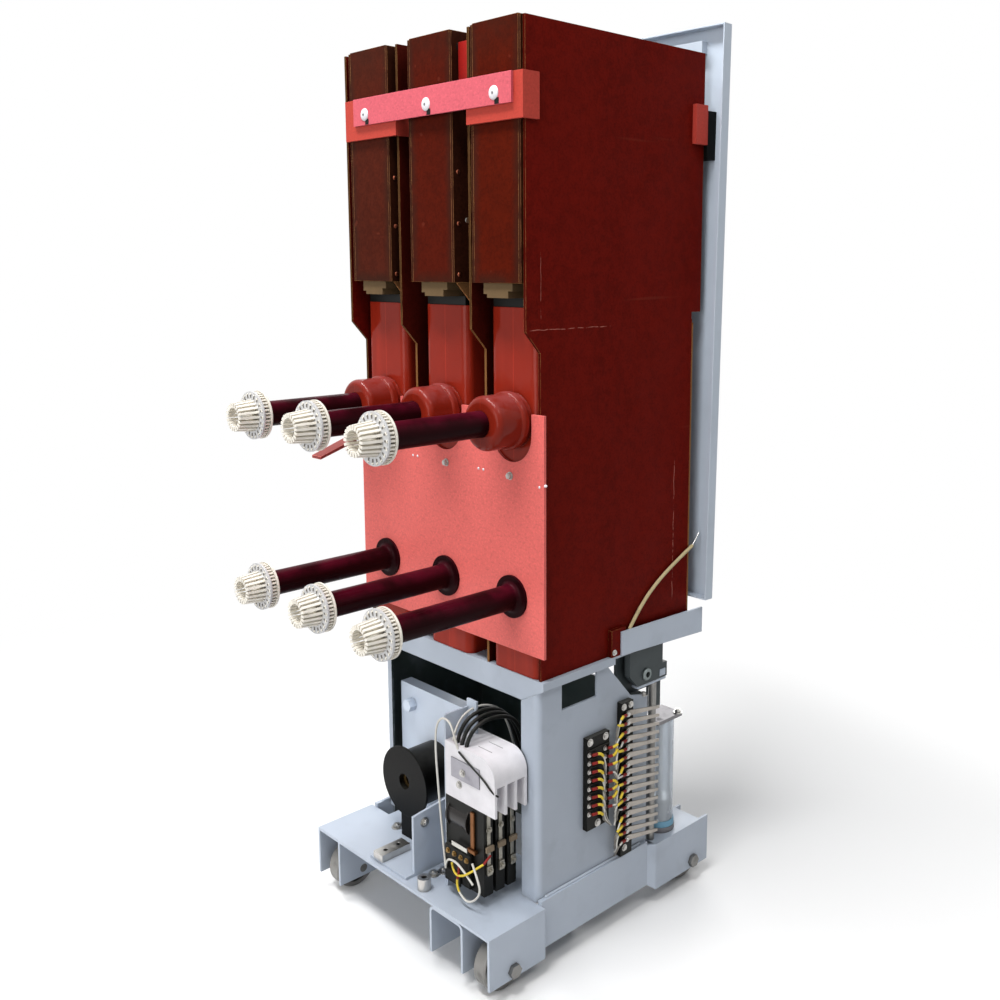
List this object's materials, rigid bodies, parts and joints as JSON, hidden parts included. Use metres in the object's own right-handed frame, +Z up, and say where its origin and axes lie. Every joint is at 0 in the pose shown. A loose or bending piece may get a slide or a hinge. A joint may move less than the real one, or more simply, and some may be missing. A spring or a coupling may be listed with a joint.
{
  "type": "draw-out power circuit breaker",
  "caption": "Wheeled draw-out medium-voltage circuit breaker with arc chutes between laminate barriers, insulated tubes ending in tulip contacts, and a steel front panel.",
  "frame": {"origin": "on the floor under the middle of the breaker's box", "axes": "+Z up, +Y towards the operator's front panel, -Y along the primary contacts, +X the side with the secondary contacts"},
  "size_m": [0.64, 0.898, 1.9182],
  "materials": {
    "grey_paint": "satin",
    "panel_paint": "satin",
    "steel": "worn",
    "bright_steel": "satin",
    "laminate": "satin",
    "chute_laminate": "satin",
    "moulding": "gloss",
    "cap_dark": "matte",
    "throat_tan": "matte",
    "sheet_red": "matte",
    "strip_pink": "matte",
    "block_red": "matte",
    "tube_maroon": "gloss",
    "silver": "satin",
    "black": "satin",
    "black_metal": "satin",
    "white_mould": "satin",
    "clear": "gloss",
    "sleeve_cream": "matte"
  },
  "bodies": {
    "truck": {"rear_base_plate": "grey_paint", "front_base_plate": "grey_paint", "wheel_cheeks": "grey_paint", "rear_channel": "grey_paint", "axle_bolts": "bright_steel", "side_plate_left": "grey_paint", "side_plate_right": "grey_paint", "side_rails": "grey_paint", "front_plate": "grey_paint", "deck": "grey_paint", "support_caps": "cap_dark", "throat_blocks": "throat_tan", "chute_side_plates": "chute_laminate", "barrier_outer_left": "laminate", "barrier_inner_left": "laminate", "barrier_inner_right": "laminate", "barrier_outer_right": "laminate", "front_sheet": "laminate", "lower_sheet": "sheet_red", "bar_blocks": "block_red", "bar_strip": "strip_pink", "front_panel": "panel_paint", "clip_blocks": "block_red", "panel_brackets": "black_metal", "side_bar": "grey_paint", "corner_bracket": "laminate", "crank_bracket": "black_metal", "shaft": "bright_steel", "terminal_block": "black", "secondary_strip": "black", "secondary_fingers": "silver", "dashpot_frame": "bright_steel", "dashpot_cylinder": "clear", "mechanism_plate": "grey_paint", "spool": "black", "angle_bracket": "grey_paint", "base_fittings": "bright_steel", "contactor_panel": "grey_paint", "contactor_body": "black", "contactor_hood": "white_mould", "tether_cable": "sleeve_cream", "primary_tubes": "tube_maroon", "pole_support_left": "moulding", "arc_chute_left": "chute_laminate", "upper_contact_left": "silver", "lower_contact_left": "silver", "pole_support_center": "moulding", "arc_chute_center": "chute_laminate", "upper_contact_center": "silver", "lower_contact_center": "silver", "pole_support_right": "moulding", "arc_chute_right": "chute_laminate", "upper_contact_right": "silver", "lower_contact_right": "silver"},
    "wheel_rear_left": {"wheel_rear_left": "steel"},
    "wheel_rear_right": {"wheel_rear_right": "steel"},
    "wheel_front_left": {"wheel_front_left": "steel"},
    "wheel_front_right": {"wheel_front_right": "steel"}
  },
  "joints": [
    {"name": "wheel_rear_left_spin", "type": "hinge", "parent": "truck", "child": "wheel_rear_left", "pos_m": [-0.254, -0.171, 0.054], "axis": [1, 0, 0], "continuous": true},
    {"name": "wheel_rear_right_spin", "type": "hinge", "parent": "truck", "child": "wheel_rear_right", "pos_m": [0.254, -0.171, 0.054], "axis": [1, 0, 0], "continuous": true},
    {"name": "wheel_front_left_spin", "type": "hinge", "parent": "truck", "child": "wheel_front_left", "pos_m": [-0.254, 0.393, 0.054], "axis": [1, 0, 0], "continuous": true},
    {"name": "wheel_front_right_spin", "type": "hinge", "parent": "truck", "child": "wheel_front_right", "pos_m": [0.254, 0.393, 0.054], "axis": [1, 0, 0], "continuous": true}
  ]
}
